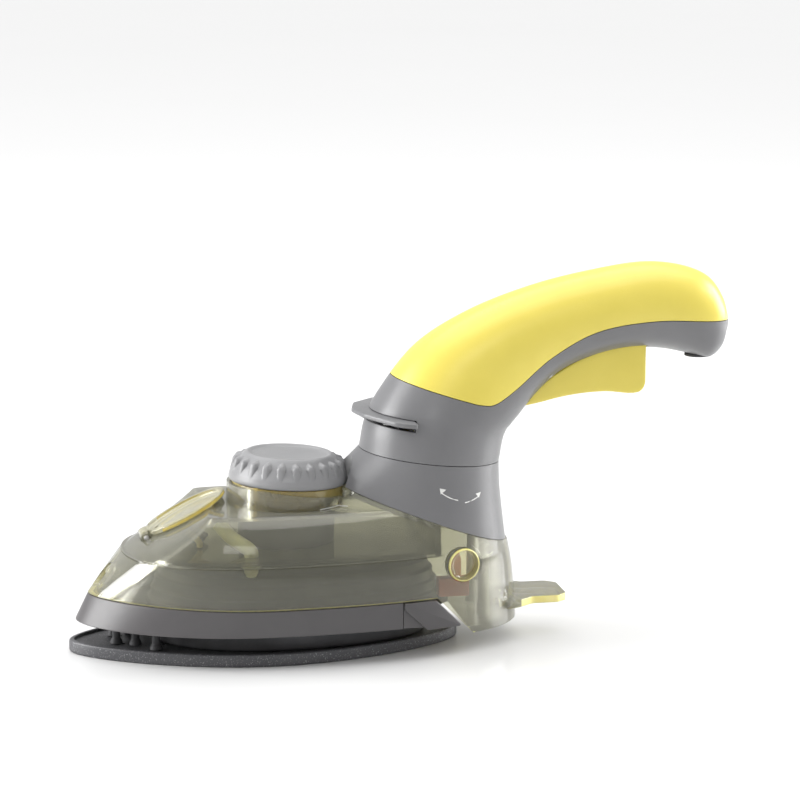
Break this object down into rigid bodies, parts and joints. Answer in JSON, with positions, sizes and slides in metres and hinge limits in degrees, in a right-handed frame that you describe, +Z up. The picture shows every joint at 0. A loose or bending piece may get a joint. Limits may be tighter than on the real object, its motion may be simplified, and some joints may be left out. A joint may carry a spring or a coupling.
{
  "type": "handheld steamer",
  "caption": "Travel steam iron with a boat-shaped sole, clear water tank, round thermostat knob and a grip that swivels from rear to front, with a squeeze trigger.",
  "frame": {"origin": "on the sole's flat underside, below the centre of the swivel seam, towards the sole's rear end", "axes": "+Z up, nose towards -X, grip at rest towards +X, Y across the object"},
  "size_m": [0.2574, 0.085, 0.1445],
  "materials": {
    "sole_coating": "dark grey non-stick coating on aluminium",
    "cast_metal": "dark as-cast aluminium",
    "steel": "plain steel",
    "grey_plastic": "satin mid-grey moulded plastic",
    "dark_plastic": "dark grey heat-resistant plastic",
    "clear_plastic": "clear plastic with a faint yellow tint",
    "amber_plastic": "translucent amber plastic",
    "cream_rubber": "cream silicone rubber",
    "yellow_plastic": "satin lemon-yellow moulded plastic",
    "white_plastic": "off-white plastic",
    "red_plastic": "orange-red plastic",
    "black_rubber": "black rubber or plastic"
  },
  "bodies": {
    "base": {"soleplate": "sole_coating", "steam_chamber": "cast_metal", "stud_front_left": "cast_metal", "stud_front_right": "cast_metal", "stud_middle_left": "cast_metal", "stud_middle_right": "cast_metal", "stud_back_left": "cast_metal", "stud_back_right": "cast_metal", "heating_element": "steel", "chamber_lid": "steel", "thermostat": "steel", "flap_pin": "steel", "swivel_washer": "steel", "skirt": "grey_plastic", "skirt_corner_left": "grey_plastic", "skirt_corner_right": "grey_plastic", "turret": "grey_plastic", "base_pan": "dark_plastic", "heat_shield": "dark_plastic", "thermostat_sleeve": "dark_plastic", "filter_pad": "dark_plastic", "tank_shell": "clear_plastic", "tank_floor": "clear_plastic", "lower_shell": "clear_plastic", "amber_ring": "amber_plastic", "lamp_lens": "amber_plastic", "inlet_tube": "amber_plastic", "feed_hose": "cream_rubber", "hose_fitting": "cream_rubber", "spray_nozzle": "white_plastic", "swivel_spindle": "white_plastic", "swivel_nut": "white_plastic", "pump": "white_plastic", "rear_post_left": "white_plastic", "rear_post_right": "white_plastic", "lamp_holder": "red_plastic", "pilot_lamp": "red_plastic"},
    "handle": {"grip_lower": "grey_plastic", "grip_upper": "yellow_plastic", "trigger_pin": "steel", "trigger_spring": "steel", "microswitch": "black_rubber", "cord_gland": "black_rubber", "release_spring": "steel"},
    "trigger": {"trigger": "yellow_plastic"},
    "lever": {"release_lever": "grey_plastic"},
    "knob": {"knob": "grey_plastic", "thermostat_shaft": "white_plastic"},
    "flap": {"filler_flap": "clear_plastic", "filler_plug": "amber_plastic"}
  },
  "joints": [
    {"name": "handle_swivel", "type": "hinge", "parent": "base", "child": "handle", "pos_m": [0.001, 0, 0.0726], "axis": [0.1045, 0, 0.9945], "range_deg": [0, 180]},
    {"name": "trigger_squeeze", "type": "hinge", "parent": "handle", "child": "trigger", "pos_m": [0.046, 0, 0.1035], "axis": [0, -1, 0], "range_deg": [0, 5], "stiffness_Nm_per_rad": 0.6, "springref_deg": -5.73, "deforming": ["trigger_spring"]},
    {"name": "lever_press", "type": "slide", "parent": "handle", "child": "lever", "axis": [-0.1045, 0, -0.9945], "range_m": [0, 0.002], "stiffness_N_per_m": 400, "springref_m": -0.001, "deforming": ["release_spring"]},
    {"name": "knob_turn", "type": "hinge", "parent": "base", "child": "knob", "pos_m": [-0.054, 0, 0.064], "axis": [-0.0454, 0, -0.999], "range_deg": [0, 270]},
    {"name": "flap_open", "type": "hinge", "parent": "base", "child": "flap", "pos_m": [-0.1093, 0, 0.0444], "axis": [0, -1, 0], "range_deg": [0, 105]}
  ]
}
